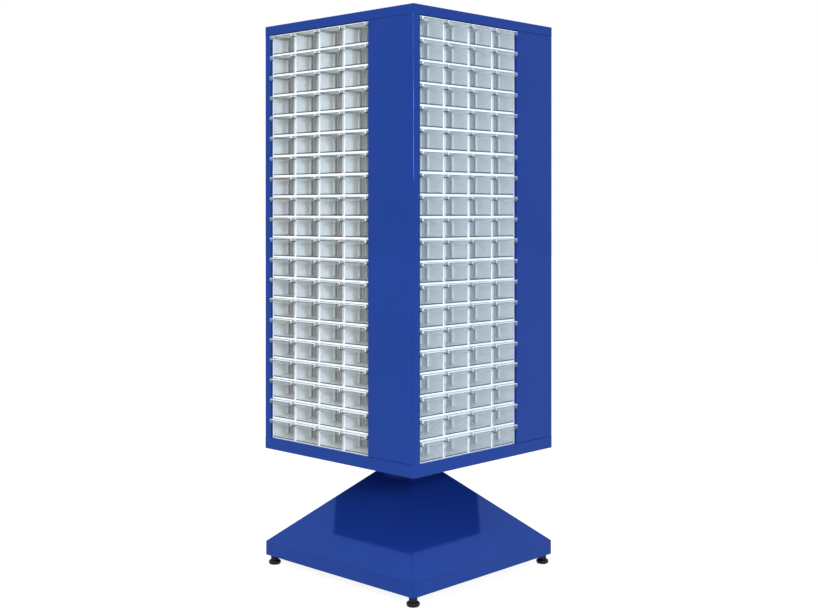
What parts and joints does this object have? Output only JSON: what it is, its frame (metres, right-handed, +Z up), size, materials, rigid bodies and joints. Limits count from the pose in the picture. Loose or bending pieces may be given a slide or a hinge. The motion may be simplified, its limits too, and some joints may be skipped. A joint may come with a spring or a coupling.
{
  "type": "revolving small-parts drawer cabinet",
  "caption": "Square blue steel cabinet with a bank of small clear plastic drawers on each of its four sides, turning on a pyramid-shaped blue base with levelling feet.",
  "frame": {"origin": "on the floor, at the centre of the base", "axes": "+Z up along the turning axis; the four sides face -Y, +X, +Y and -X at rest"},
  "size_m": [0.615, 0.615, 1.587],
  "materials": {
    "blue_powder_coat": "gloss",
    "black_paint": "satin",
    "zinc_steel": "satin",
    "galvanised_sheet": "satin",
    "white_acetal": "matte",
    "black_plastic": "matte",
    "white_polystyrene": "gloss",
    "clear_polystyrene": "gloss"
  },
  "bodies": {
    "base": {"base_hood": "blue_powder_coat", "base_cross_frame": "black_paint", "post_gussets": "black_paint", "foot_plates": "black_paint", "foot_nuts": "zinc_steel", "pivot_post": "zinc_steel", "keeper_nut": "zinc_steel"},
    "carousel": {"hub": "zinc_steel", "bearing_sleeve": "white_acetal", "bottom_tray": "blue_powder_coat", "top_cover": "blue_powder_coat", "centre_column": "galvanised_sheet", "bank_bearers": "galvanised_sheet", "corner_panel_1": "blue_powder_coat", "corner_panel_2": "blue_powder_coat", "corner_panel_3": "blue_powder_coat", "corner_panel_4": "blue_powder_coat", "drawer_rack_1": "white_polystyrene", "drawer_rack_2": "white_polystyrene", "drawer_rack_3": "white_polystyrene", "drawer_rack_4": "white_polystyrene", "bay_housing_1_1": "white_polystyrene", "bay_housing_1_2": "white_polystyrene", "bay_housing_1_3": "white_polystyrene", "bay_housing_1_4": "white_polystyrene", "bay_housing_2_1": "white_polystyrene", "bay_housing_2_2": "white_polystyrene", "bay_housing_2_3": "white_polystyrene", "bay_housing_2_4": "white_polystyrene", "bay_housing_3_1": "white_polystyrene", "bay_housing_3_2": "white_polystyrene", "bay_housing_3_3": "white_polystyrene", "bay_housing_3_4": "white_polystyrene", "bay_housing_4_1": "white_polystyrene", "bay_housing_4_2": "white_polystyrene", "bay_housing_4_3": "white_polystyrene", "bay_housing_4_4": "white_polystyrene"},
    "levelling_foot_1": {"levelling_foot_1": "black_plastic"},
    "levelling_foot_2": {"levelling_foot_2": "black_plastic"},
    "levelling_foot_3": {"levelling_foot_3": "black_plastic"},
    "levelling_foot_4": {"levelling_foot_4": "black_plastic"},
    "drawer_1_1": {"drawer_1_1": "clear_polystyrene"},
    "drawer_1_2": {"drawer_1_2": "clear_polystyrene"},
    "drawer_1_3": {"drawer_1_3": "clear_polystyrene"},
    "drawer_1_4": {"drawer_1_4": "clear_polystyrene"},
    "drawer_2_1": {"drawer_2_1": "clear_polystyrene"},
    "drawer_2_2": {"drawer_2_2": "clear_polystyrene"},
    "drawer_2_3": {"drawer_2_3": "clear_polystyrene"},
    "drawer_2_4": {"drawer_2_4": "clear_polystyrene"},
    "drawer_3_1": {"drawer_3_1": "clear_polystyrene"},
    "drawer_3_2": {"drawer_3_2": "clear_polystyrene"},
    "drawer_3_3": {"drawer_3_3": "clear_polystyrene"},
    "drawer_3_4": {"drawer_3_4": "clear_polystyrene"},
    "drawer_4_1": {"drawer_4_1": "clear_polystyrene"},
    "drawer_4_2": {"drawer_4_2": "clear_polystyrene"},
    "drawer_4_3": {"drawer_4_3": "clear_polystyrene"},
    "drawer_4_4": {"drawer_4_4": "clear_polystyrene"}
  },
  "joints": [
    {"name": "carousel_turn", "type": "hinge", "parent": "base", "child": "carousel", "pos_m": [0, 0, 0.285], "axis": [0, 0, 1], "continuous": true},
    {"name": "levelling_foot_1_screw", "type": "slide", "parent": "base", "child": "levelling_foot_1", "axis": [0, 0, 1], "range_m": [-0.015, 0.0018]},
    {"name": "levelling_foot_2_screw", "type": "slide", "parent": "base", "child": "levelling_foot_2", "axis": [0, 0, 1], "range_m": [-0.015, 0.0018]},
    {"name": "levelling_foot_3_screw", "type": "slide", "parent": "base", "child": "levelling_foot_3", "axis": [0, 0, 1], "range_m": [-0.015, 0.0018]},
    {"name": "levelling_foot_4_screw", "type": "slide", "parent": "base", "child": "levelling_foot_4", "axis": [0, 0, 1], "range_m": [-0.015, 0.0018]},
    {"name": "drawer_1_1_slide", "type": "slide", "parent": "carousel", "child": "drawer_1_1", "axis": [0, -1, 0], "range_m": [0, 0.12]},
    {"name": "drawer_1_2_slide", "type": "slide", "parent": "carousel", "child": "drawer_1_2", "axis": [0, -1, 0], "range_m": [0, 0.12]},
    {"name": "drawer_1_3_slide", "type": "slide", "parent": "carousel", "child": "drawer_1_3", "axis": [0, -1, 0], "range_m": [0, 0.12]},
    {"name": "drawer_1_4_slide", "type": "slide", "parent": "carousel", "child": "drawer_1_4", "axis": [0, -1, 0], "range_m": [0, 0.12]},
    {"name": "drawer_2_1_slide", "type": "slide", "parent": "carousel", "child": "drawer_2_1", "axis": [1, 0, 0], "range_m": [0, 0.12]},
    {"name": "drawer_2_2_slide", "type": "slide", "parent": "carousel", "child": "drawer_2_2", "axis": [1, 0, 0], "range_m": [0, 0.12]},
    {"name": "drawer_2_3_slide", "type": "slide", "parent": "carousel", "child": "drawer_2_3", "axis": [1, 0, 0], "range_m": [0, 0.12]},
    {"name": "drawer_2_4_slide", "type": "slide", "parent": "carousel", "child": "drawer_2_4", "axis": [1, 0, 0], "range_m": [0, 0.12]},
    {"name": "drawer_3_1_slide", "type": "slide", "parent": "carousel", "child": "drawer_3_1", "axis": [0, 1, 0], "range_m": [0, 0.12]},
    {"name": "drawer_3_2_slide", "type": "slide", "parent": "carousel", "child": "drawer_3_2", "axis": [0, 1, 0], "range_m": [0, 0.12]},
    {"name": "drawer_3_3_slide", "type": "slide", "parent": "carousel", "child": "drawer_3_3", "axis": [0, 1, 0], "range_m": [0, 0.12]},
    {"name": "drawer_3_4_slide", "type": "slide", "parent": "carousel", "child": "drawer_3_4", "axis": [0, 1, 0], "range_m": [0, 0.12]},
    {"name": "drawer_4_1_slide", "type": "slide", "parent": "carousel", "child": "drawer_4_1", "axis": [-1, 0, 0], "range_m": [0, 0.12]},
    {"name": "drawer_4_2_slide", "type": "slide", "parent": "carousel", "child": "drawer_4_2", "axis": [-1, 0, 0], "range_m": [0, 0.12]},
    {"name": "drawer_4_3_slide", "type": "slide", "parent": "carousel", "child": "drawer_4_3", "axis": [-1, 0, 0], "range_m": [0, 0.12]},
    {"name": "drawer_4_4_slide", "type": "slide", "parent": "carousel", "child": "drawer_4_4", "axis": [-1, 0, 0], "range_m": [0, 0.12]}
  ]
}
